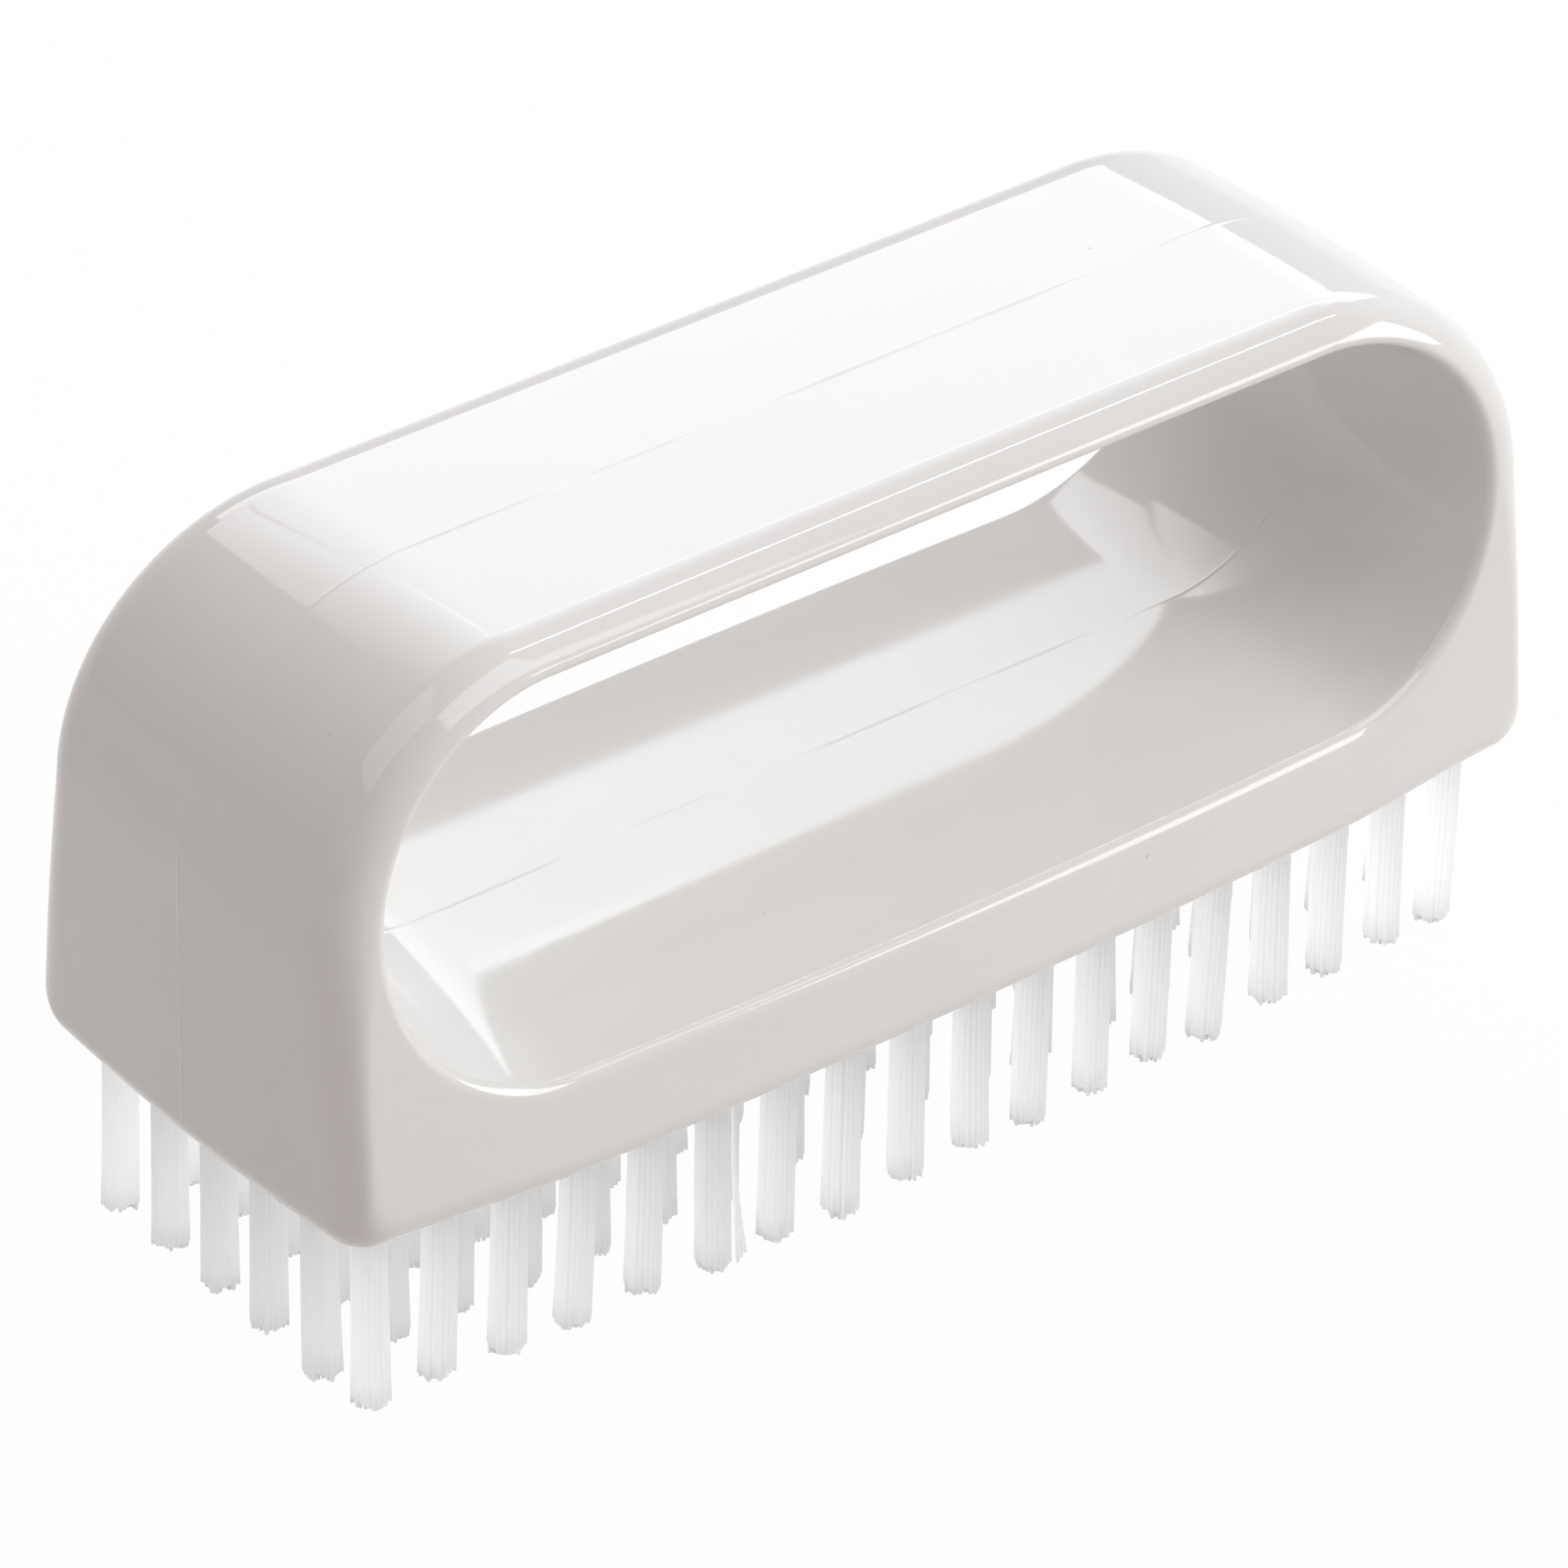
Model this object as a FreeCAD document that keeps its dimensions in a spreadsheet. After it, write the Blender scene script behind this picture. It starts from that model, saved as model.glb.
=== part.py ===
import FreeCAD, Part
import math
import os
import Sketcher

# Nail brush: a moulded block with a loop handle, its bristle tufts and the wire anchors that hold them.
# Millimetres. X runs along the length, Z is up, and the bristle tips stand on Z = 0.
# The mould parts in the plane Y = 0, so the shape is the same on both sides of that plane.

SIZES = {
    # moulded body, outside
    "body_length": 99.4,
    "base_width": 35.1,
    "top_width": 28.5,
    "side_bow": 1.6,
    "corner_radius": 17.2,
    "mould_draft": 1.15,
    "end_edge_radius": 3.0,
    "loop_edge_radius": 1.4,
    "base_edge_radius": 1.6,
    # window for the fingers and the walls round it, measured in the parting plane
    "window_height": 23.6,
    "bar_thickness": 4.4,
    "end_wall": 6.05,
    "deck_wall": 3.7,
    "window_crown_radius": 74.0,
    "window_rim_radius": 0.8,
    # bristle field
    "bristle_length": 14.7,
    "tuft_columns": 18,
    "tuft_rows": 6,
    "end_margin": 4.65,
    "side_margin": 4.55,
    "tip_spread": 0.15,
    # holes and anchors
    "hole_diameter": 2.7,
    "hole_depth": 6.0,
    "tuft_clearance": 0.05,
    "fold_thickness": 0.8,
    "anchor_bite": 0.4,
    "anchor_height": 1.6,
    "anchor_thickness": 0.4,
    "anchor_clearance": 0.04,
    "anchor_angle": 35.0,
}
# How far the rough shapes run past the faces that trim them
OVERRUN = "2"

doc = FreeCAD.newDocument("nail_brush")
sheet = doc.addObject("Spreadsheet::Sheet", "sizes")
for row, (alias, value) in enumerate(SIZES.items(), start=1):
    sheet.set(f"A{row}", alias)
    sheet.set(f"B{row}", str(value))
    sheet.setAlias(f"B{row}", alias)
doc.recompute()

# Lengths that several pieces share, each as a formula over the sheet
HALF_LENGTH = "(sizes.body_length / 2)"
HALF_BASE = "(sizes.base_width / 2)"
BODY_HEIGHT = "(sizes.hole_depth + sizes.deck_wall + sizes.window_height + sizes.bar_thickness)"
BODY_TOP = f"(sizes.bristle_length + {BODY_HEIGHT})"
SIDE_RADIUS = f"(({HALF_LENGTH} ^ 2 + sizes.side_bow ^ 2) / (2 * sizes.side_bow))"
SIDE_CENTRE = f"({SIDE_RADIUS} - {HALF_BASE} - sizes.side_bow)"
SIDE_SLOPE = f"((sizes.base_width - sizes.top_width) / {BODY_HEIGHT})"
REACH = f"(max({HALF_BASE} + sizes.side_bow; sizes.top_width / 2) + {OVERRUN})"
LOFT_END = f"({HALF_LENGTH} + {OVERRUN})"
LOFT_TOP = f"({BODY_TOP} + {OVERRUN})"
LOFT_TOP_HALF = f"((sizes.top_width - {SIDE_SLOPE} * {OVERRUN}) / 2)"
WINDOW_RADIUS = "(sizes.window_height / 2)"
WINDOW_CEILING = f"({BODY_TOP} - sizes.bar_thickness)"
WINDOW_FLOOR = f"({WINDOW_CEILING} - sizes.window_height)"
WINDOW_AXIS = f"({WINDOW_FLOOR} + {WINDOW_RADIUS})"
WINDOW_HALF_SPAN = f"({HALF_LENGTH} - sizes.end_wall - {WINDOW_RADIUS})"
AXIS_HALF_WIDTH = f"({HALF_BASE} - {SIDE_SLOPE} * ({WINDOW_AXIS} - sizes.bristle_length) / 2)"
ROOT_RADIUS = "(sizes.hole_diameter / 2 - sizes.tuft_clearance)"
ANCHOR_LENGTH = "(sizes.hole_diameter + 2 * sizes.anchor_bite)"
TUFT_TOP = "(sizes.bristle_length + sizes.hole_depth - sizes.tuft_clearance)"
ANCHOR_TOP = f"({TUFT_TOP} - sizes.fold_thickness)"


def value_of(formula):
    """The present value of a formula, in millimetres."""
    return float(sheet.evalExpression(formula))


def sketch_on(name, rotation, offset_axis=None, offset=None):
    """An empty sketch, turned into its plane and moved along one axis."""
    sketch = doc.addObject("Sketcher::SketchObject", name)
    sketch.Placement = FreeCAD.Placement(FreeCAD.Vector(), rotation)
    if offset_axis:
        sketch.setExpression(f"Placement.Base.{offset_axis}", offset)
    return sketch


def constrain(sketch, kind, *where, name=None, formula=None):
    """Add one constraint, bound to a formula where it has a size."""
    if formula is None:
        sketch.addConstraint(Sketcher.Constraint(kind, *where))
        return
    index = sketch.addConstraint(Sketcher.Constraint(kind, *where, value_of(formula)))
    sketch.renameConstraint(index, name)
    sketch.setExpression(f"Constraints.{name}", formula)


def line(sketch, start, end):
    """A straight edge between two points of the sketch."""
    segment = Part.LineSegment(FreeCAD.Vector(*start, 0), FreeCAD.Vector(*end, 0))
    return sketch.addGeometry(segment, False)


def arc(sketch, centre, radius, first, last):
    """An arc drawn anticlockwise between two angles in degrees."""
    circle = Part.Circle(FreeCAD.Vector(*centre, 0), FreeCAD.Vector(0, 0, 1), radius)
    return sketch.addGeometry(Part.ArcOfCircle(circle, math.radians(first), math.radians(last)), False)


def close_chain(sketch, edges):
    """Join the end of each edge to the start of the next."""
    for edge, following in zip(edges, edges[1:] + edges[:1]):
        constrain(sketch, "Coincident", edge, 2, following, 1)


FLAT = FreeCAD.Rotation()
UPRIGHT_ALONG_X = FreeCAD.Rotation(FreeCAD.Vector(1, 0, 0), 90)
UPRIGHT_ALONG_Y = FreeCAD.Rotation(FreeCAD.Vector(1, 1, 1), 120)
ORIGIN = (-1, 1)
VERTICAL_AXIS = -2


def bowed_outline(name):
    """The underside's outline: long sides bowed outward, ends straight."""
    sketch = sketch_on(name, FLAT, "z", "sizes.bristle_length")
    radius, centre, end = value_of(SIDE_RADIUS), value_of(SIDE_CENTRE), value_of(LOFT_END)
    half_turn = math.degrees(math.asin(end / radius))
    side = radius * math.cos(math.radians(half_turn)) - centre
    front = arc(sketch, (0, centre), radius, 270 - half_turn, 270 + half_turn)
    right = line(sketch, (end, -side), (end, side))
    back = arc(sketch, (0, -centre), radius, 90 - half_turn, 90 + half_turn)
    left = line(sketch, (-end, side), (-end, -side))
    close_chain(sketch, [front, right, back, left])
    for edge in (right, left):
        constrain(sketch, "Vertical", edge)
    for edge, label in ((front, "front"), (back, "back")):
        constrain(sketch, "PointOnObject", edge, 3, VERTICAL_AXIS)
        constrain(sketch, "Radius", edge, name=f"{label}_radius", formula=SIDE_RADIUS)
    constrain(sketch, "DistanceY", *ORIGIN, front, 3, name="front_centre", formula=SIDE_CENTRE)
    constrain(sketch, "DistanceY", back, 3, *ORIGIN, name="back_centre", formula=SIDE_CENTRE)
    constrain(sketch, "DistanceX", *ORIGIN, right, 1, name="right_end", formula=LOFT_END)
    constrain(sketch, "DistanceX", left, 1, *ORIGIN, name="left_end", formula=LOFT_END)
    return sketch


def straight_outline(name):
    """The outline above the loop, where the long sides have drawn in and run straight."""
    sketch = sketch_on(name, FLAT, "z", LOFT_TOP)
    half, end = value_of(LOFT_TOP_HALF), value_of(LOFT_END)
    front = line(sketch, (-end, -half), (end, -half))
    right = line(sketch, (end, -half), (end, half))
    back = line(sketch, (end, half), (-end, half))
    left = line(sketch, (-end, half), (-end, -half))
    close_chain(sketch, [front, right, back, left])
    for edge in (front, back):
        constrain(sketch, "Horizontal", edge)
    for edge in (right, left):
        constrain(sketch, "Vertical", edge)
    constrain(sketch, "DistanceY", front, 1, *ORIGIN, name="front_half", formula=LOFT_TOP_HALF)
    constrain(sketch, "DistanceY", *ORIGIN, back, 1, name="back_half", formula=LOFT_TOP_HALF)
    constrain(sketch, "DistanceX", *ORIGIN, right, 1, name="right_end", formula=LOFT_END)
    constrain(sketch, "DistanceX", left, 1, *ORIGIN, name="left_end", formula=LOFT_END)
    return sketch


def loop_profile(name):
    """The body seen from the front: straight ends, two large top corners and a straight crown."""
    sketch = sketch_on(name, UPRIGHT_ALONG_X)
    foot_formula = f"sizes.bristle_length - {OVERRUN}"
    half, top, foot = value_of(HALF_LENGTH), value_of(BODY_TOP), value_of(foot_formula)
    radius = value_of("sizes.corner_radius")
    bottom = line(sketch, (-half, foot), (half, foot))
    right = line(sketch, (half, foot), (half, top - radius))
    right_corner = arc(sketch, (half - radius, top - radius), radius, 0, 90)
    crown = line(sketch, (half - radius, top), (radius - half, top))
    left_corner = arc(sketch, (radius - half, top - radius), radius, 90, 180)
    left = line(sketch, (-half, top - radius), (-half, foot))
    constrain(sketch, "Coincident", bottom, 2, right, 1)
    constrain(sketch, "Coincident", left, 2, bottom, 1)
    smooth = [right, right_corner, crown, left_corner, left]
    for edge, following in zip(smooth, smooth[1:]):
        constrain(sketch, "Tangent", edge, 2, following, 1)
    for edge in (bottom, crown):
        constrain(sketch, "Horizontal", edge)
    for edge in (right, left):
        constrain(sketch, "Vertical", edge)
    constrain(sketch, "Radius", right_corner, name="right_radius", formula="sizes.corner_radius")
    constrain(sketch, "Radius", left_corner, name="left_radius", formula="sizes.corner_radius")
    constrain(sketch, "DistanceX", *ORIGIN, right, 1, name="right_half", formula=HALF_LENGTH)
    constrain(sketch, "DistanceX", left, 2, *ORIGIN, name="left_half", formula=HALF_LENGTH)
    constrain(sketch, "DistanceY", *ORIGIN, bottom, 1, name="foot", formula=foot_formula)
    constrain(sketch, "DistanceY", *ORIGIN, crown, 1, name="top", formula=BODY_TOP)
    return sketch


def crown_arc(sketch, label, height, faces_up):
    """A crowned edge of the window: nearest the window's axis in the parting plane, flaring to both faces."""
    radius, reach = value_of("sizes.window_crown_radius"), value_of(REACH)
    half_turn = math.degrees(math.asin(reach / radius))
    if faces_up:
        edge = arc(sketch, (0, value_of(height) - radius), radius, 90 - half_turn, 90 + half_turn)
        depth = f"sizes.window_crown_radius - {height}"
        constrain(sketch, "DistanceY", edge, 3, *ORIGIN, name=f"{label}_centre", formula=depth)
    else:
        edge = arc(sketch, (0, value_of(height) + radius), radius, 270 - half_turn, 270 + half_turn)
        rise = f"{height} + sizes.window_crown_radius"
        constrain(sketch, "DistanceY", *ORIGIN, edge, 3, name=f"{label}_centre", formula=rise)
    constrain(sketch, "PointOnObject", edge, 3, VERTICAL_AXIS)
    constrain(sketch, "Radius", edge, name=f"{label}_radius", formula="sizes.window_crown_radius")
    return edge


def bound_sides(sketch, sides):
    """Hold the window section's two upright sides beyond the body's faces."""
    low, high = sides
    for edge in sides:
        constrain(sketch, "Vertical", edge)
    constrain(sketch, "DistanceX", low, 1, *ORIGIN, name="low_reach", formula=REACH)
    constrain(sketch, "DistanceX", *ORIGIN, high, 1, name="high_reach", formula=REACH)


def flare(half_width):
    """How far the crowned window wall has moved away from the window's axis at a distance from its middle."""
    radius = value_of("sizes.window_crown_radius")
    return radius - math.sqrt(radius ** 2 - half_width ** 2)


def window_section(name):
    """The window's straight stretch, cut across: floor and ceiling both crowned towards the middle."""
    sketch = sketch_on(name, UPRIGHT_ALONG_Y, "x", f"-{WINDOW_HALF_SPAN}")
    reach = value_of(REACH)
    drop = flare(reach)
    low, high = value_of(WINDOW_FLOOR) - drop, value_of(WINDOW_CEILING) + drop
    floor = crown_arc(sketch, "floor", WINDOW_FLOOR, True)
    near = line(sketch, (-reach, low), (-reach, high))
    ceiling = crown_arc(sketch, "ceiling", WINDOW_CEILING, False)
    far = line(sketch, (reach, high), (reach, low))
    close_chain(sketch, [floor, near, ceiling, far])
    bound_sides(sketch, (near, far))
    return sketch


def window_half_section(name, centre):
    """The lower half of the window section, which turns about the window's axis to make a round end."""
    sketch = sketch_on(name, UPRIGHT_ALONG_Y, "x", centre)
    reach, axis = value_of(REACH), value_of(WINDOW_AXIS)
    low = value_of(WINDOW_FLOOR) - flare(reach)
    floor = crown_arc(sketch, "floor", WINDOW_FLOOR, True)
    near = line(sketch, (-reach, low), (-reach, axis))
    middle = line(sketch, (-reach, axis), (reach, axis))
    far = line(sketch, (reach, axis), (reach, low))
    close_chain(sketch, [floor, near, middle, far])
    bound_sides(sketch, (near, far))
    constrain(sketch, "Horizontal", middle)
    constrain(sketch, "DistanceY", *ORIGIN, middle, 1, name="axis_height", formula=WINDOW_AXIS)
    return sketch


def add(kind, name, formulas=None, **settings):
    """A document object with plain settings and with sizes bound to formulas."""
    made = doc.addObject(kind, name)
    for setting, content in settings.items():
        setattr(made, setting, content)
    for path, formula in (formulas or {}).items():
        made.setExpression(path, formula)
    return made


# Rough body: the bowed block that draws in towards the top, trimmed to the loop's outline
taper_block = add("Part::Loft", "taper_block", Solid=True, Ruled=True,
                  Sections=[bowed_outline("underside_outline"), straight_outline("top_outline")])
loop_blank = add("Part::Extrusion", "loop_blank",
                 {"LengthFwd": REACH, "LengthRev": REACH,
                  "TaperAngle": "-sizes.mould_draft", "TaperAngleRev": "-sizes.mould_draft"},
                 Base=loop_profile("loop_profile"), DirMode="Normal", Solid=True)
rough_body = add("Part::Common", "rough_body", Base=taper_block, Tool=loop_blank)
doc.recompute()


def numbered_edges(shape, wanted):
    """The numbers of a shape's edges that a test picks out."""
    return [number for number, edge in enumerate(shape.Edges, start=1) if wanted(edge)]


TOUCH = 1e-4
base_height = value_of("sizes.bristle_length")
corner_start = value_of(f"{BODY_TOP} - sizes.corner_radius")
quarter_width = value_of("sizes.top_width") / 4


def on_base(edge):
    """Whether an edge lies in the underside."""
    return edge.BoundBox.ZMax < base_height + TOUCH


def on_outer_edge(edge):
    """Whether an edge runs along the front or the back of the body, away from the parting plane."""
    away = min(abs(vertex.Y) for vertex in edge.Vertexes) > quarter_width
    return away and not on_base(edge)


def wall_at_face(wall, half_width):
    """What is left of a wall at the front and back faces, after the draft and the window's flare."""
    return wall - flare(half_width) - half_width * math.tan(math.radians(value_of("sizes.mould_draft")))


def corner_wall():
    """The wall between the window's round end and the body's top corner, in the parting plane."""
    across = value_of(f"{WINDOW_HALF_SPAN} - {HALF_LENGTH} + sizes.corner_radius")
    above = value_of(WINDOW_AXIS) - corner_start
    offset = math.hypot(max(across, 0), max(above, 0))
    return value_of(f"sizes.corner_radius - {WINDOW_RADIUS}") - offset


# The outer edge and the window's rim share the wall between them, so each radius is limited by it
EDGE_SHARE = 0.78
RIM_SHARE = 0.9
corner_face = wall_at_face(corner_wall(), value_of(AXIS_HALF_WIDTH))
loop_face = min(corner_face, wall_at_face(value_of("sizes.bar_thickness"), value_of("sizes.top_width / 2")))
end_face = min(corner_face, wall_at_face(value_of("sizes.end_wall"), value_of(AXIS_HALF_WIDTH)))
loop_radius = min(value_of("sizes.loop_edge_radius"), EDGE_SHARE * loop_face)
end_radius = min(value_of("sizes.end_edge_radius"), EDGE_SHARE * end_face)
rim_room = min(loop_face - loop_radius, end_face - end_radius)
rim_radius = min(value_of("sizes.window_rim_radius"), RIM_SHARE * rim_room)


def edge_radius_at(vertex):
    """The radius of the outer edge: fuller on the block's upright ends, finer round the loop."""
    at_end = vertex.Z < corner_start + TOUCH
    return end_radius if at_end else loop_radius


def outer_radii(shape):
    """Each outer edge's number and the radius at its two ends."""
    chosen = []
    for number in numbered_edges(shape, on_outer_edge):
        first, last = (edge_radius_at(vertex) for vertex in shape.Edges[number - 1].Vertexes)
        chosen.append((number, first, last))
    return chosen


eased_sides = add("Part::Fillet", "eased_sides", Base=rough_body, Edges=outer_radii(rough_body.Shape))
doc.recompute()
base_radius = value_of("sizes.base_edge_radius")
base_edges = numbered_edges(eased_sides.Shape, on_base)
eased_body = add("Part::Fillet", "eased_body", Base=eased_sides,
                 Edges=[(number, base_radius, base_radius) for number in base_edges])

# Window: a straight stretch between two round ends
window_middle = add("Part::Extrusion", "window_middle", {"LengthFwd": f"2 * {WINDOW_HALF_SPAN}"},
                    Base=window_section("window_section"), DirMode="Normal", Solid=True)
window_parts = [window_middle]
for side, direction in (("left", -1), ("right", 1)):
    centre = f"{direction} * {WINDOW_HALF_SPAN}"
    window_parts.append(add("Part::Revolution", f"window_{side}", {"Base.x": centre, "Base.z": WINDOW_AXIS},
                            Source=window_half_section(f"window_{side}_section", centre),
                            Axis=FreeCAD.Vector(0, -direction, 0), Angle=180, Solid=True))
window = add("Part::MultiFuse", "window", Shapes=window_parts)
open_body = add("Part::Cut", "open_body", Base=eased_body, Tool=window)
doc.recompute()

window_wall = window.Shape.Shells[0]


def on_window_rim(edge):
    """Whether an edge runs round the window's mouth on the front or the back face."""
    middle = edge.valueAt((edge.FirstParameter + edge.LastParameter) / 2)
    return abs(middle.y) > quarter_width and window_wall.distToShape(Part.Vertex(middle))[0] < TOUCH


rim_edges = numbered_edges(open_body.Shape, on_window_rim)
handle_blank = add("Part::Fillet", "handle_blank", Base=open_body,
                   Edges=[(number, rim_radius, rim_radius) for number in rim_edges])


def slot(name, clearance):
    """The space of one anchor, grown all round by a clearance."""
    grown = f"2 * {clearance}"
    return add("Part::Box", name,
               {"Length": f"{ANCHOR_LENGTH} + {grown}", "Width": f"sizes.anchor_thickness + {grown}",
                "Height": f"sizes.anchor_height + {grown}",
                "Placement.Base.x": f"-({ANCHOR_LENGTH} / 2 + {clearance})",
                "Placement.Base.y": f"-(sizes.anchor_thickness / 2 + {clearance})",
                "Placement.Base.z": f"{ANCHOR_TOP} - sizes.anchor_height - {clearance}"})


# One anchor: a short piece of flat wire lying across the hole
anchor = slot("anchor", "0")

# One tuft: a straight root that fills its hole and a bundle that spreads to the tip, folded over the anchor
tuft_root = add("Part::Cylinder", "tuft_root",
                {"Radius": ROOT_RADIUS, "Height": f"{TUFT_TOP} - sizes.bristle_length",
                 "Placement.Base.z": "sizes.bristle_length"})
tuft_spread = add("Part::Cone", "tuft_spread",
                  {"Radius1": f"{ROOT_RADIUS} + sizes.tip_spread", "Radius2": ROOT_RADIUS,
                   "Height": "sizes.bristle_length"})
tuft_bundle = add("Part::Fuse", "tuft_bundle", Base=tuft_spread, Tool=tuft_root)
tuft = add("Part::Cut", "tuft", Base=tuft_bundle, Tool=slot("tuft_slot", "sizes.anchor_clearance"))

# One hole: a blind bore with the two pockets that the anchor's ends bite into its wall
bore = add("Part::Cylinder", "bore",
           {"Radius": "sizes.hole_diameter / 2", "Height": f"sizes.hole_depth + {OVERRUN}",
            "Placement.Base.z": f"sizes.bristle_length - {OVERRUN}"})
hole = add("Part::Fuse", "hole", Base=bore, Tool=slot("bite", "sizes.anchor_clearance"))

columns = round(value_of("sizes.tuft_columns"))
rows = round(value_of("sizes.tuft_rows"))


def column_x(column):
    """Where a column stands along the length, its ends a margin away from the body's ends."""
    share = f"({2 * column + 1 - columns}) / (round(sizes.tuft_columns) - 1)"
    return f"({HALF_LENGTH} - sizes.end_margin) * {share}"


def row_y(column, row):
    """Where a row crosses a column: the outer rows follow the bowed sides a margin inside them."""
    half_width = f"({HALF_BASE} + sizes.side_bow * (1 - ({column_x(column)} / {HALF_LENGTH}) ^ 2))"
    share = f"({2 * row + 1 - rows}) / (round(sizes.tuft_rows) - 1)"
    return f"({half_width} - sizes.side_margin) * {share}"


def placed(original, name, column, row):
    """A copy of a piece standing at one place of the bristle field."""
    link = doc.addObject("App::Link", name)
    link.LinkedObject = original
    link.LinkTransform = True
    link.Placement = FreeCAD.Placement(FreeCAD.Vector(), FreeCAD.Rotation(FreeCAD.Vector(0, 0, 1), 1))
    link.setExpression("Placement.Base.x", column_x(column))
    link.setExpression("Placement.Base.y", row_y(column, row))
    link.setExpression("Placement.Rotation.Angle", "sizes.anchor_angle")
    return link


def column_of(original, name, column):
    """One column of copies, kept as separate solids."""
    copies = [placed(original, f"{name}_{row + 1}", column, row) for row in range(rows)]
    return add("Part::Compound", name, Links=copies)


hole_field = add("Part::Compound", "hole_field",
                 Links=[column_of(hole, f"hole_column_{c + 1:02d}", c) for c in range(columns)])
nodes = [add("Part::Cut", "handle_body", Base=handle_blank, Tool=hole_field)]
for column in range(columns):
    nodes.append(column_of(tuft, f"tuft_column_{column + 1:02d}", column))
    nodes.append(column_of(anchor, f"anchor_column_{column + 1:02d}", column))
doc.recompute()

failed = [made.Name for made in doc.Objects if "Invalid" in made.State or "Error" in made.State]
broken = [node.Label for node in nodes if node.Shape.isNull() or not node.Shape.isValid()]
if failed or broken:
    raise RuntimeError(f"failed objects {failed}, broken shapes {broken}")

os.makedirs("parts", exist_ok=True)
for node in nodes:
    node.Shape.exportStep(f"parts/{node.Label}.step")
    print(node.Label, len(node.Shape.Solids), "solids", round(node.Shape.Volume, 1), "cubic mm")
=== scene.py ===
import math
import random

import bpy
import numpy as np
from mathutils import Matrix, Vector


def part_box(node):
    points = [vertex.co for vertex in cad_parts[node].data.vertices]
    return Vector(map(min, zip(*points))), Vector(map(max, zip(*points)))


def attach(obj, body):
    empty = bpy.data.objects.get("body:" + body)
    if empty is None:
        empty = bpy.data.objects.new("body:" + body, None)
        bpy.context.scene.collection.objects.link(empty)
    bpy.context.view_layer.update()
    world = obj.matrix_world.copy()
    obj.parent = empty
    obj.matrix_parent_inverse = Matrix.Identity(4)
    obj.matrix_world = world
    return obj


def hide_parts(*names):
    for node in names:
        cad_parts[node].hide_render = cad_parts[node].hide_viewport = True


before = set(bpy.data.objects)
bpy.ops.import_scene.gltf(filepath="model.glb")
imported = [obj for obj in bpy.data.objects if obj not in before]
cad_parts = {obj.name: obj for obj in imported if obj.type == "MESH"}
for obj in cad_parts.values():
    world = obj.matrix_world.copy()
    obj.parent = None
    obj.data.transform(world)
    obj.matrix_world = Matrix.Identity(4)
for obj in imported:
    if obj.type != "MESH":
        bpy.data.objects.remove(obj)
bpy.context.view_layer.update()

# Nail brush: the glossy moulded body with its loop handle, the bristle tufts and the hidden anchors.
# Lengths are in metres; MM turns millimetres into metres. Angles are in degrees.

MM = 0.001
BODY_LOW, BODY_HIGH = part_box("handle_body")

# Thin raised line that the mould leaves in the parting plane
FLASH_HEIGHT = 0.028 * MM
FLASH_WIDTH = 0.12 * MM

# Outside of the body, seen from the front
HALF_LENGTH = BODY_HIGH.x
BASE = BODY_LOW.z
TOP = BODY_HIGH.z - FLASH_HEIGHT
SIDE = HALF_LENGTH - FLASH_HEIGHT
CORNER_RADIUS = 17.2 * MM
BASE_CORNER_RADIUS = 2.2 * MM

# Front and back faces: bowed at the base, straight and drawn in at the top
BASE_HALF_WIDTH = 17.5 * MM
TOP_HALF_WIDTH = 14.25 * MM
SIDE_BOW = 1.55 * MM

# Crowned outer surfaces and the radius of their edges
CROWN_RADIUS = 320 * MM
END_CROWN_RADIUS = 200 * MM
DRAFT_SLOPE = 0.005
LOOP_EDGE = 3.7 * MM
END_EDGE = 3.4 * MM
BASE_EDGE = 2.0 * MM

# Window for the fingers, measured in the parting plane
WINDOW_RADIUS = 12.05 * MM
WINDOW_HALF_SPAN = 31.6 * MM
WINDOW_AXIS = 36.45 * MM
WINDOW_FLARE_RADIUS = 74 * MM
RIM_EDGE = 0.7 * MM

# Sections of the body: steps round the loop, and steps across a section
LENGTH_STEPS = 130
CORNER_STEPS = 56
END_STEPS = 34
FOOT_STEPS = 14
UNDER_STEPS = 30
OUTSIDE_STEPS = 13
FACE_STEPS = 26
RIM_STEPS = 8
WALL_STEPS = 17
NEAR_PARTING = [0, 0.05 * MM, 0.1 * MM, FLASH_WIDTH, 0.3 * MM, 0.7 * MM]

# Part of the window's end arc that faces the rounded foot, in degrees below its middle
FOOT_FROM = 40
FOOT_TO = 52

# Tufts: rows and columns, width, length and lean
TUFT_ROWS = 6
TUFT_COLUMNS = 18
TUFT_ROOT_RADIUS = 1.17 * MM
ROOT_DEPTH = 1.0 * MM
TUFT_TOP = BASE + ROOT_DEPTH
TIP_SHARE_LOW = 0.82
TIP_SHARE_HIGH = 0.96
SPREAD_POWER = 1.4
MOST_TRIM = 0.9 * MM
LEAN_X = 0.18
LEAN_Y = 0.15
TIP_SLOPE = 0.06
LEANING = {(18, 0): (-0.45, -0.1), (6, 0): (0.2, 0.0), (1, 3): (0.15, 0.25)}

# Packed core of a tuft, with one flute for each outer filament
FLUTES = 20
FLUTE_DEPTH = 0.05 * MM
FLUTE_PROFILE = (1, 0.3, 0, 0.3)
CORE_RINGS = 8
CORE_END = 0.42 * MM
CORE_RAGGED = 0.4 * MM

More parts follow.
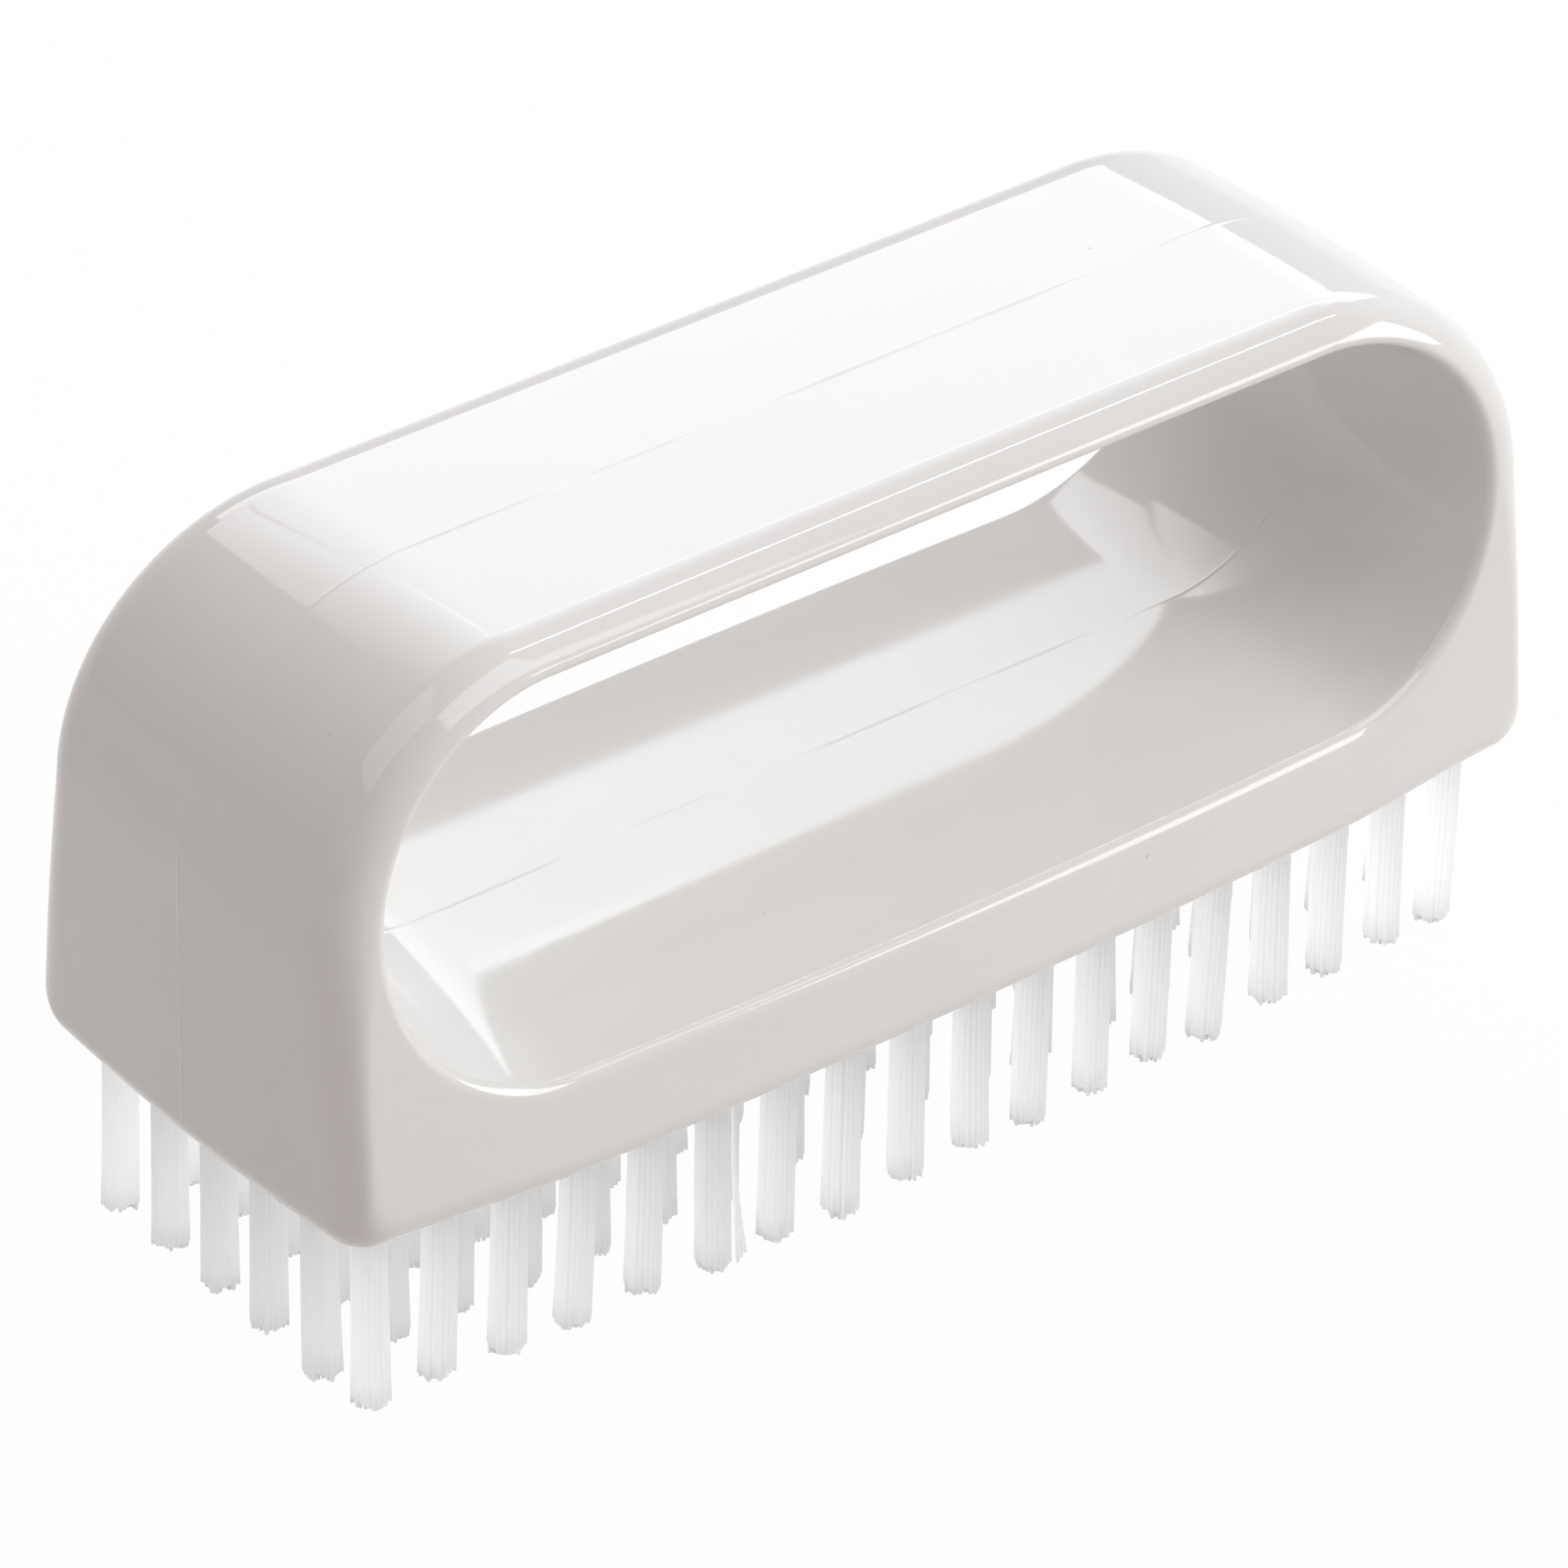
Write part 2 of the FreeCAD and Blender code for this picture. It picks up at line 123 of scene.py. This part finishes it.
# Separate filaments at the tips, and stray ones as (x, y, swing) in millimetres
FILAMENT_RADIUS = 0.145 * MM
FILAMENT_PITCH = 0.297 * MM
FILAMENT_SIDES = 6
TIP_OVERLAP = 0.3 * MM
TIP_SCATTER = 0.2 * MM
TIP_ROUNDING = 0.1 * MM
TIP_LOWEST = 0.02 * MM
TIP_PUSH = 0.04
STRAY_STEPS = 6
STRAY_LENGTH = 0.985
STRAYS = {
    (6, 0): ((1.1, -0.6, 0.7), (1.2, -0.3, 1.15), (0.9, -0.85, 0.4)),
    (12, 1): ((-1.1, -0.3, -0.8),),
}

# Stage
FLOOR_HALF = 3.0
FLOOR_COLOUR = (0.68, 0.64, 0.62, 1)
FLOOR_GLOW = 1.03
FLOOR_GLOW_SHARE = 0.93
WORLD_COLOUR = (1.0, 0.845, 0.795, 1)
WORLD_STRENGTH = 0.26
LAMP_COLOUR = (0.965, 0.998, 1.0)
LAMP_TARGET = Vector((0, 0, 0.033))


# Small helpers

def smooth(t):
    """A step from 0 to 1 with level ends."""
    return t * t * (3 - 2 * t)


def new_object(name, vertices, faces, materials, face_materials=None):
    """A smooth-shaded mesh object made from points and faces."""
    mesh = bpy.data.meshes.new(name)
    mesh.from_pydata(vertices, [], faces)
    for material in materials:
        mesh.materials.append(material)
    if face_materials is not None:
        mesh.polygons.foreach_set("material_index", face_materials)
    mesh.polygons.foreach_set("use_smooth", [True] * len(mesh.polygons))
    mesh.update()
    made = bpy.data.objects.new(name, mesh)
    bpy.context.scene.collection.objects.link(made)
    return made


# Materials

def new_material(name):
    """A node material, its tree and its Principled shader."""
    material = bpy.data.materials.new(name)
    material.use_nodes = True
    return material, material.node_tree, material.node_tree.nodes["Principled BSDF"]


def noise(tree, scale, detail=2.0, stretch=None):
    """Noise over the object's own coordinates, stretched along its axes where asked."""
    coordinates = tree.nodes.new("ShaderNodeTexCoord")
    source = coordinates.outputs["Object"]
    if stretch:
        mapping = tree.nodes.new("ShaderNodeMapping")
        mapping.inputs["Scale"].default_value = stretch
        tree.links.new(source, mapping.inputs["Vector"])
        source = mapping.outputs["Vector"]
    texture = tree.nodes.new("ShaderNodeTexNoise")
    texture.inputs["Scale"].default_value = scale
    texture.inputs["Detail"].default_value = detail
    tree.links.new(source, texture.inputs["Vector"])
    return texture.outputs["Fac"]


def ramp(tree, source, stops):
    """A colour ramp over a source, from (place, colour) stops."""
    made = tree.nodes.new("ShaderNodeValToRGB")
    elements = made.color_ramp.elements
    while len(elements) < len(stops):
        elements.new(0.5)
    for element, (place, colour) in zip(elements, stops):
        element.position = place
        element.color = (*colour, 1)
    tree.links.new(source, made.inputs["Fac"])
    return made.outputs["Color"]


def grey(value):
    """A neutral colour."""
    return (value, value, value)


def bump(tree, shader, height, strength, distance):
    """Fine relief on a shader."""
    made = tree.nodes.new("ShaderNodeBump")
    made.inputs["Strength"].default_value = strength
    made.inputs["Distance"].default_value = distance
    tree.links.new(height, made.inputs["Height"])
    tree.links.new(made.outputs["Normal"], shader.inputs["Normal"])


def multiply(tree, first, second):
    """Two colours multiplied."""
    mix = tree.nodes.new("ShaderNodeMix")
    mix.data_type = "RGBA"
    mix.blend_type = "MULTIPLY"
    mix.inputs["Factor"].default_value = 1
    tree.links.new(first, mix.inputs["A"])
    tree.links.new(second, mix.inputs["B"])
    return mix.outputs["Result"]


def plastic_material(name, roughness_low, roughness_high, grain_strength):
    """White moulded plastic: slightly cloudy, with rare specks, soft gloss changes and a fine grain."""
    material, tree, shader = new_material(name)
    cloud = ramp(tree, noise(tree, 60, 3), [(0.2, (0.865, 0.862, 0.857)), (0.8, (0.89, 0.888, 0.884))])
    specks = ramp(tree, noise(tree, 1400, 1), [(0.15, grey(0.78)), (0.19, grey(1))])
    tree.links.new(multiply(tree, cloud, specks), shader.inputs["Base Color"])
    gloss = ramp(tree, noise(tree, 140, 4), [(0.0, grey(roughness_low)), (1.0, grey(roughness_high))])
    tree.links.new(gloss, shader.inputs["Roughness"])
    bump(tree, shader, noise(tree, 1800, 3), grain_strength, 0.02 * MM)
    shader.inputs["IOR"].default_value = 1.58
    return material


def nylon_material(name):
    """Milky drawn nylon: long streaks, a soft shine and light that passes through."""
    material, tree, shader = new_material(name)
    streaks = ramp(tree, noise(tree, 2500, 2, (1, 1, 0.03)),
                   [(0.3, (0.95, 0.952, 0.95)), (0.7, (0.985, 0.986, 0.985))])
    tree.links.new(streaks, shader.inputs["Base Color"])
    gloss = ramp(tree, noise(tree, 4000, 2), [(0.3, grey(0.28)), (0.7, grey(0.42))])
    tree.links.new(gloss, shader.inputs["Roughness"])
    bump(tree, shader, noise(tree, 9000, 2, (1, 1, 0.1)), 0.08, 0.01 * MM)
    shader.inputs["IOR"].default_value = 1.53
    through = tree.nodes.new("ShaderNodeBsdfTranslucent")
    through.inputs["Color"].default_value = (0.985, 0.985, 0.985, 1)
    milky = tree.nodes.new("ShaderNodeMixShader")
    milky.inputs["Fac"].default_value = 0.93
    tree.links.new(shader.outputs["BSDF"], milky.inputs[1])
    tree.links.new(through.outputs["BSDF"], milky.inputs[2])
    tree.links.new(milky.outputs["Shader"], tree.nodes["Material Output"].inputs["Surface"])
    return material


def wire_material(name):
    """Drawn flat wire: grey metal with fine lines along its length."""
    material, tree, shader = new_material(name)
    lines = ramp(tree, noise(tree, 3000, 2, (0.1, 1, 1)),
                 [(0.3, (0.52, 0.51, 0.48)), (0.7, (0.68, 0.67, 0.64))])
    tree.links.new(lines, shader.inputs["Base Color"])
    gloss = ramp(tree, noise(tree, 2000, 2), [(0.3, grey(0.28)), (0.7, grey(0.45))])
    tree.links.new(gloss, shader.inputs["Roughness"])
    shader.inputs["Metallic"].default_value = 1
    return material


# Body

def loop_samples():
    """Rows round the loop: outside and the way it falls, window and its normal, edge radius."""
    rows = []

    def stretch(count, outer, inner, edge, fall=None):
        for step in range(count):
            t = step / count
            x, z, normal_x, normal_z = outer(t)
            falling = (normal_x, normal_z) if fall is None else (fall[0] + (fall[1] - fall[0]) * t, 0)
            rows.append((x, z, *falling, *inner(t), edge[0] + (edge[1] - edge[0]) * smooth(t)))

    def straight(start, end, normal):
        return lambda t: (start[0] + (end[0] - start[0]) * t, start[1] + (end[1] - start[1]) * t, *normal)

    def turn(centre, radius, first, last):
        def at(t):
            angle = math.radians(first + (last - first) * t)
            c, s = math.cos(angle), math.sin(angle)
            return (centre[0] + radius * c, centre[1] + radius * s, c, s)
        return at

    corner_x, corner_z = SIDE - CORNER_RADIUS, TOP - CORNER_RADIUS
    foot_x, foot_z = SIDE - BASE_CORNER_RADIUS, BASE + BASE_CORNER_RADIUS
    span, axis, radius = WINDOW_HALF_SPAN, WINDOW_AXIS, WINDOW_RADIUS
    ceiling, floor = axis + radius, axis - radius
    right, left = (span, axis), (-span, axis)

    stretch(LENGTH_STEPS, straight((-corner_x, TOP), (corner_x, TOP), (0, 1)),
            straight((-span, ceiling), (span, ceiling), (0, 1)), (LOOP_EDGE, LOOP_EDGE))
    stretch(CORNER_STEPS, turn((corner_x, corner_z), CORNER_RADIUS, 90, 0),
            turn(right, radius, 90, 0), (LOOP_EDGE, END_EDGE))
    stretch(END_STEPS, straight((SIDE, corner_z), (SIDE, foot_z), (1, 0)),
            turn(right, radius, 0, -FOOT_FROM), (END_EDGE, END_EDGE))
    stretch(FOOT_STEPS, turn((foot_x, foot_z), BASE_CORNER_RADIUS, 0, -90),
            turn(right, radius, -FOOT_FROM, -FOOT_TO), (END_EDGE, END_EDGE), (1, 1))
    stretch(UNDER_STEPS, straight((foot_x, BASE), (span, BASE), (0, -1)),
            turn(right, radius, -FOOT_TO, -90), (END_EDGE, BASE_EDGE), (1, 0))
    stretch(LENGTH_STEPS, straight((span, BASE), (-span, BASE), (0, -1)),
            straight((span, floor), (-span, floor), (0, -1)), (BASE_EDGE, BASE_EDGE), (0, 0))
    stretch(UNDER_STEPS, straight((-span, BASE), (-foot_x, BASE), (0, -1)),
            turn(left, radius, -90, FOOT_TO - 180), (BASE_EDGE, END_EDGE), (0, -1))
    stretch(FOOT_STEPS, turn((-foot_x, foot_z), BASE_CORNER_RADIUS, -90, -180),
            turn(left, radius, FOOT_TO - 180, FOOT_FROM - 180), (END_EDGE, END_EDGE), (-1, -1))
    stretch(END_STEPS, straight((-SIDE, foot_z), (-SIDE, corner_z), (-1, 0)),
            turn(left, radius, FOOT_FROM - 180, -180), (END_EDGE, END_EDGE))
    stretch(CORNER_STEPS, turn((-corner_x, corner_z), CORNER_RADIUS, 180, 90),
            turn(left, radius, 180, 90), (END_EDGE, LOOP_EDGE))
    return np.array(rows)


def face_half_width(points):
    """How far the front face stands from the parting plane at points seen from the front."""
    x, z = points[..., 0], points[..., 1]
    rise = (z - BASE) / (TOP - BASE)
    bowed = BASE_HALF_WIDTH + SIDE_BOW * (1 - (x / HALF_LENGTH) ** 2)
    return (1 - rise) * bowed + rise * TOP_HALF_WIDTH


def flash(depth):
    """Height of the parting line at a depth from the parting plane."""
    return FLASH_HEIGHT * np.clip(1 - depth / FLASH_WIDTH, 0, 1)


def outer_drop(depth, endwise):
    """How far the outside has fallen away at a depth: more on the ends than on the top."""
    curve = (1 - endwise) / CROWN_RADIUS + endwise / END_CROWN_RADIUS
    return curve * depth ** 2 / 2 + DRAFT_SLOPE * depth


def window_flare(depth):
    """How far the window has opened at a depth from the parting plane."""
    return WINDOW_FLARE_RADIUS - np.sqrt(WINDOW_FLARE_RADIUS ** 2 - depth ** 2)


def arc_between(start, corner, end, steps):
    """Points of a round arc that starts and ends along the two sides of a corner."""
    weight = math.sqrt(0.5)
    points = []
    for step in range(1, steps):
        t = step / steps
        a, b, c = (1 - t) ** 2, 2 * weight * t * (1 - t), t * t
        points.append((a * start + b * corner + c * end) / (a + b + c))
    return points


def edge_loss(distance, radius):
    """How much a round edge takes off the face at a distance in from the outside."""
    inward = np.clip(1 - distance / radius, 0, 1)
    return radius * (1 - np.sqrt(1 - inward ** 2))


def body_half_section():
    """One half of the body's section at every place round the loop, from outside to window."""
    loop = loop_samples()
    outer, fall = loop[:, 0:2], loop[:, 2:4]
    inner, inner_normal = loop[:, 4:6], loop[:, 6:8]
    edge = loop[:, 8:9]
    endwise = fall[:, :1] ** 2

    # The parting line is uneven: it rises and falls along the loop
    along = np.linspace(0, math.tau, len(loop), endpoint=False)[:, None]
    raised = np.clip(0.65 + 0.25 * np.sin(7 * along + 1) + 0.25 * np.sin(17 * along), 0.3, 1)

    def outside(depth):
        flat = outer + fall * (raised * flash(depth) - outer_drop(depth, endwise))
        return np.hstack([flat[:, :1], -depth, flat[:, 1:]])

    def wall(depth):
        flat = inner + inner_normal * (window_flare(depth) - raised * flash(depth))
        return np.hstack([flat[:, :1], -depth, flat[:, 1:]])

    # The outside ends where its round edge starts, and the wall ends where it meets the face
    outside_end = face_half_width(outer)[:, None] - edge
    for _ in range(4):
        start = outside(outside_end)[:, [0, 2]]
        outside_end = face_half_width(start)[:, None] - edge
    rim_depth = face_half_width(inner)[:, None]
    for _ in range(8):
        rim = wall(rim_depth)[:, [0, 2]]
        width = np.linalg.norm(rim - start, axis=1)[:, None]
        rim_depth = face_half_width(rim)[:, None] - edge_loss(width, edge)
    inward = (rim - start) / width

    def on_face(distance):
        flat = start + inward * distance
        depth = face_half_width(flat)[:, None] - edge_loss(distance, edge)
        return np.hstack([flat[:, :1], -depth, flat[:, 1:]])

    full = np.ones_like(edge)
    first_depth = NEAR_PARTING[-1]
    section = [outside(full * depth) for depth in NEAR_PARTING]
    for share in np.linspace(0, 1, OUTSIDE_STEPS + 1)[1:]:
        section.append(outside(first_depth + (outside_end - first_depth) * share))
    for angle in np.linspace(0, math.pi / 2, FACE_STEPS + 1)[1:]:
        section.append(on_face((width - RIM_EDGE) * (1 - math.cos(angle))))
    wall_end = rim_depth - RIM_EDGE
    section += arc_between(section[-1], wall(rim_depth), wall(wall_end), RIM_STEPS)
    first_wall = len(section)
    for share in np.linspace(1, 0, WALL_STEPS + 1):
        section.append(wall(first_depth + (wall_end - first_depth) * share))
    section += [wall(full * depth) for depth in reversed(NEAR_PARTING[:-1])]
    return np.stack(section, axis=1), first_wall


def build_body(shell, lining):
    """The moulded body: a closed ring of sections round the window."""
    half, first_wall = body_half_section()
    back = half[:, -2:0:-1] * np.array([1, -1, 1])
    ring = np.concatenate([half, back], axis=1)
    around, across = ring.shape[:2]
    last_wall = across - first_wall
    faces, kinds = [], []
    for i in range(around):
        following = (i + 1) % around
        for j in range(across):
            beside = (j + 1) % across
            faces.append((i * across + j, following * across + j,
                          following * across + beside, i * across + beside))
            kinds.append(1 if first_wall <= j < last_wall else 0)
    return new_object("moulded_body", ring.reshape(-1, 3).tolist(), faces, [shell, lining], kinds)


# Bristles

def packed_disc(radius, rng):
    """Places of filaments packed in a round hole, turned at random."""
    places = []
    row_height = FILAMENT_PITCH * math.sqrt(3) / 2
    reach = int(radius / row_height) + 1
    turn = rng.uniform(0, math.tau)
    c, s = math.cos(turn), math.sin(turn)
    for row in range(-reach, reach + 1):
        for step in range(-reach - 2, reach + 3):
            x = (step + 0.5 * (row % 2)) * FILAMENT_PITCH
            y = row * row_height
            if math.hypot(x, y) <= radius:
                places.append((x * c - y * s, x * s + y * c))
    return places


def add_filament(vertices, faces, path, radius):
    """One round filament along a path, closed at both ends with a blunt cut."""
    start = len(vertices)
    for x, y, z in path:
        for side in range(FILAMENT_SIDES):
            angle = math.tau * side / FILAMENT_SIDES
            vertices.append((x + radius * math.cos(angle), y + radius * math.sin(angle), z))
    for ring in range(len(path) - 1):
        low, high = start + ring * FILAMENT_SIDES, start + (ring + 1) * FILAMENT_SIDES
        for side in range(FILAMENT_SIDES):
            beside = (side + 1) % FILAMENT_SIDES
            faces.append((low + side, high + side, high + beside, low + beside))
    last = start + (len(path) - 1) * FILAMENT_SIDES
    faces.append(tuple(start + side for side in range(FILAMENT_SIDES)))
    faces.append(tuple(last + side for side in reversed(range(FILAMENT_SIDES))))


def add_core(vertices, faces, place, core_end, rng):
    """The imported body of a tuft: its outer filaments show as flutes, and its end is uneven."""
    start = len(vertices)
    points = len(FLUTE_PROFILE)
    around = points * FLUTES
    depths = [FLUTE_DEPTH * rng.uniform(0.4, 1.4) for _ in range(FLUTES)]
    ends = [core_end + rng.uniform(-CORE_RAGGED, CORE_RAGGED) for _ in range(FLUTES)]
    for ring in range(CORE_RINGS):
        for k in range(around):
            flute, phase = divmod(k, points)
            end = (ends[flute] + ends[flute - 1]) / 2 if phase == 0 else ends[flute]
            reach = TUFT_ROOT_RADIUS - depths[flute] * FLUTE_PROFILE[phase]
            angle = math.tau * k / around
            t = (TUFT_TOP - end) / TUFT_TOP * ring / (CORE_RINGS - 1)
            vertices.append(place(reach * math.cos(angle), reach * math.sin(angle), t))
    for ring in range(CORE_RINGS - 1):
        low, high = start + ring * around, start + (ring + 1) * around
        for k in range(around):
            beside = (k + 1) % around
            faces.append((low + k, high + k, high + beside, low + beside))
    faces.append(tuple(start + k for k in range(around)))
    last = start + (CORE_RINGS - 1) * around
    middle = len(vertices)
    vertices.append(place(0, 0, (TUFT_TOP - core_end) / TUFT_TOP))
    for k in range(around):
        faces.append((last + (k + 1) % around, last + k, middle))


def add_tuft(vertices, faces, centre, tip_radius, key, rng):
    """One tuft: a packed bundle with its own length, spread and lean, and ragged separate tips."""
    spread = tip_radius / TUFT_ROOT_RADIUS * rng.uniform(TIP_SHARE_LOW, TIP_SHARE_HIGH)
    trim = rng.uniform(0, MOST_TRIM)
    lean_x, lean_y = LEANING.get(key, (rng.gauss(0, LEAN_X), rng.gauss(0, LEAN_Y)))
    slope_x, slope_y = rng.gauss(0, TIP_SLOPE), rng.gauss(0, TIP_SLOPE)

    def place(x, y, t):
        grow = 1 + (spread - 1) * t ** SPREAD_POWER
        bend = MM * t * t
        moved_x, moved_y = x * grow + lean_x * bend, y * grow + lean_y * bend
        return (centre[0] + moved_x, centre[1] + moved_y, TUFT_TOP * (1 - t))

    core_end = trim + CORE_END
    add_core(vertices, faces, place, core_end, rng)
    hidden = (TUFT_TOP - core_end - TIP_OVERLAP) / TUFT_TOP
    for x, y in packed_disc(TUFT_ROOT_RADIUS - FILAMENT_RADIUS, rng):
        away = math.hypot(x, y) / TUFT_ROOT_RADIUS
        tip = trim + abs(rng.gauss(0, TIP_SCATTER)) + TIP_ROUNDING * away ** 4 + x * slope_x + y * slope_y
        last = (TUFT_TOP - max(TIP_LOWEST, tip)) / TUFT_TOP
        push = 1 + max(0, rng.gauss(0, TIP_PUSH))
        path = [place(x, y, hidden), place(x * push, y * push, last)]
        add_filament(vertices, faces, path, FILAMENT_RADIUS * rng.uniform(0.94, 1.04))
    for x, y, swing in STRAYS.get(key, ()):
        path = []
        for step in range(STRAY_STEPS + 1):
            t = step / STRAY_STEPS * STRAY_LENGTH
            px, py, pz = place(x * MM, y * MM, t)
            path.append((px + swing * MM * t * t, py, pz))
        add_filament(vertices, faces, path, FILAMENT_RADIUS)


def build_tufts(nylon):
    """One piece for each column of tufts, standing where the CAD column stands."""
    made = []
    for column in range(1, TUFT_COLUMNS + 1):
        node = f"tuft_column_{column:02d}"
        low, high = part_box(node)
        tip_radius = (high.x - low.x) / 2
        x = (low.x + high.x) / 2
        vertices, faces = [], []
        for row in range(TUFT_ROWS):
            y = low.y + tip_radius + (high.y - low.y - 2 * tip_radius) * row / (TUFT_ROWS - 1)
            rng = random.Random(1000 * column + row)
            add_tuft(vertices, faces, (x, y), tip_radius, (column, row), rng)
        tufts = new_object(f"bristles_{column:02d}", vertices, faces, [nylon])
        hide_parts(node)
        made.append(tufts)
    return made


# Stage, light and camera

def light_path_share(tree):
    """One for rays from the camera, from glossy surfaces and through clear ones, and zero for the rest."""
    path = tree.nodes.new("ShaderNodeLightPath")
    total = path.outputs["Is Camera Ray"]
    for other in ("Is Glossy Ray", "Is Transmission Ray"):
        add = tree.nodes.new("ShaderNodeMath")
        add.operation = "MAXIMUM"
        tree.links.new(total, add.inputs[0])
        tree.links.new(path.outputs[other], add.inputs[1])
        total = add.outputs[0]
    return total


def build_floor():
    """A wide pale floor whose white shows to the camera, with the object's shadow kept faint."""
    corners = [(-FLOOR_HALF, -FLOOR_HALF, 0), (FLOOR_HALF, -FLOOR_HALF, 0),
               (FLOOR_HALF, FLOOR_HALF, 0), (-FLOOR_HALF, FLOOR_HALF, 0)]
    material, tree, shader = new_material("floor_white")
    shader.inputs["Base Color"].default_value = FLOOR_COLOUR
    shader.inputs["Roughness"].default_value = 0.9
    shader.inputs["Specular IOR Level"].default_value = 0
    glow = tree.nodes.new("ShaderNodeEmission")
    glow.inputs["Strength"].default_value = FLOOR_GLOW
    share = tree.nodes.new("ShaderNodeMath")
    share.operation = "MULTIPLY"
    share.inputs[1].default_value = FLOOR_GLOW_SHARE
    tree.links.new(light_path_share(tree), share.inputs[0])
    mix = tree.nodes.new("ShaderNodeMixShader")
    tree.links.new(share.outputs[0], mix.inputs["Fac"])
    tree.links.new(shader.outputs["BSDF"], mix.inputs[1])
    tree.links.new(glow.outputs["Emission"], mix.inputs[2])
    tree.links.new(mix.outputs["Shader"], tree.nodes["Material Output"].inputs["Surface"])
    floor = new_object("floor", corners, [(0, 1, 2, 3)], [material])


def build_world():
    """Soft even light from all round, seen as white."""
    world = bpy.data.worlds.new("studio")
    world.use_nodes = True
    tree = world.node_tree
    soft = tree.nodes["Background"]
    soft.inputs["Color"].default_value = WORLD_COLOUR
    soft.inputs["Strength"].default_value = WORLD_STRENGTH
    white = tree.nodes.new("ShaderNodeBackground")
    white.inputs["Strength"].default_value = 1.0
    mix = tree.nodes.new("ShaderNodeMixShader")
    tree.links.new(light_path_share(tree), mix.inputs["Fac"])
    tree.links.new(soft.outputs["Background"], mix.inputs[1])
    tree.links.new(white.outputs["Background"], mix.inputs[2])
    tree.links.new(mix.outputs["Shader"], tree.nodes["World Output"].inputs["Surface"])
    bpy.context.scene.world = world


def soft_box(name, direction, distance, width, height, power, along=None, fades=False):
    """A rectangular lamp that faces the object, level or laid along an axis, even or fading upwards."""
    lamp = bpy.data.lights.new(name, "AREA")
    lamp.shape = "RECTANGLE"
    lamp.size = width
    lamp.size_y = height
    lamp.energy = power
    lamp.color = LAMP_COLOUR
    if fades:
        lamp.use_nodes = True
        tree = lamp.node_tree
        place = tree.nodes.new("ShaderNodeSeparateXYZ")
        tree.links.new(tree.nodes.new("ShaderNodeNewGeometry").outputs["Parametric"], place.inputs[0])
        fade = ramp(tree, place.outputs["Y"], [(0.0, grey(1)), (1.0, grey(0))])
        tree.links.new(fade, tree.nodes["Emission"].inputs["Strength"])
    made = bpy.data.objects.new(name, lamp)
    back = Vector(direction).normalized()
    if along is None:
        side = Vector((0, 0, 1)).cross(back)
    else:
        side = Vector(along) - back * back.dot(Vector(along))
    side.normalize()
    axes = Matrix((side, back.cross(side), back)).transposed()
    made.matrix_world = Matrix.Translation(LAMP_TARGET + back * distance) @ axes.to_4x4()
    bpy.context.scene.collection.objects.link(made)


def build_camera():
    """The photograph's view, from a camera fitted to the grid of tuft tips and to the outline."""
    azimuth, elevation, roll = math.radians(-39.556), math.radians(33.377), math.radians(1.222)
    offset = Vector((-0.689, 18.55, 639.6)) * MM
    focal_pixels, frame_pixels, sensor_mm = 11670.1, 1897, 36.0
    back = Vector((math.sin(azimuth) * math.cos(elevation), -math.cos(azimuth) * math.cos(elevation),
                   math.sin(elevation)))
    right = Vector((math.cos(azimuth), math.sin(azimuth), 0))
    up = back.cross(right)
    turned_right = right * math.cos(roll) + up * math.sin(roll)
    turned_up = up * math.cos(roll) - right * math.sin(roll)
    lens = bpy.data.cameras.new("photo_camera")
    lens.sensor_width = sensor_mm
    lens.lens = focal_pixels * sensor_mm / frame_pixels
    lens.clip_start = 0.01
    lens.clip_end = 20
    camera = bpy.data.objects.new("photo_camera", lens)
    axes = Matrix((turned_right, turned_up, back)).transposed()
    camera.matrix_world = Matrix.Translation(axes @ offset) @ axes.to_4x4()
    bpy.context.scene.collection.objects.link(camera)
    bpy.context.scene.camera = camera


# Assembly

shell = plastic_material("white_plastic_gloss", 0.035, 0.085, 0.015)
lining = plastic_material("white_plastic_window", 0.05, 0.13, 0.14)
nylon = nylon_material("nylon_bristle")
wire = wire_material("anchor_wire")

body = build_body(shell, lining)
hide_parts("handle_body")
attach(body, "root")
for tufts in build_tufts(nylon):
    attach(tufts, "root")
for column in range(1, TUFT_COLUMNS + 1):
    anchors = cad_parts[f"anchor_column_{column:02d}"]
    anchors.data.materials.clear()
    anchors.data.materials.append(wire)

# Lamps: the way to each, its distance, width and height in metres, and its power in watts
build_floor()
build_world()
soft_box("back_light", (0.53, 0.64, 0.54), 0.9, 0.95, 0.32, 2.1)
soft_box("upper_light", (0.33, 0.528, 0.783), 0.9, 0.9, 0.29, 2.05, fades=True)
soft_box("top_strip", (0.53, -0.07, 0.84), 0.9, 0.3, 0.02, 0.22, along=(1, 0, 0))
soft_box("front_light", (0.2, -0.52, 0.83), 1.5, 1.0, 0.8, 5.0)
soft_box("front_fill", (0.8, -0.64, 0.3), 2.0, 1.2, 1.0, 17.5)
soft_box("left_fill", (-0.5, 0.1, 0.86), 0.7, 0.5, 0.5, 0.65)
build_camera()
bpy.context.scene.view_settings.view_transform = "Standard"
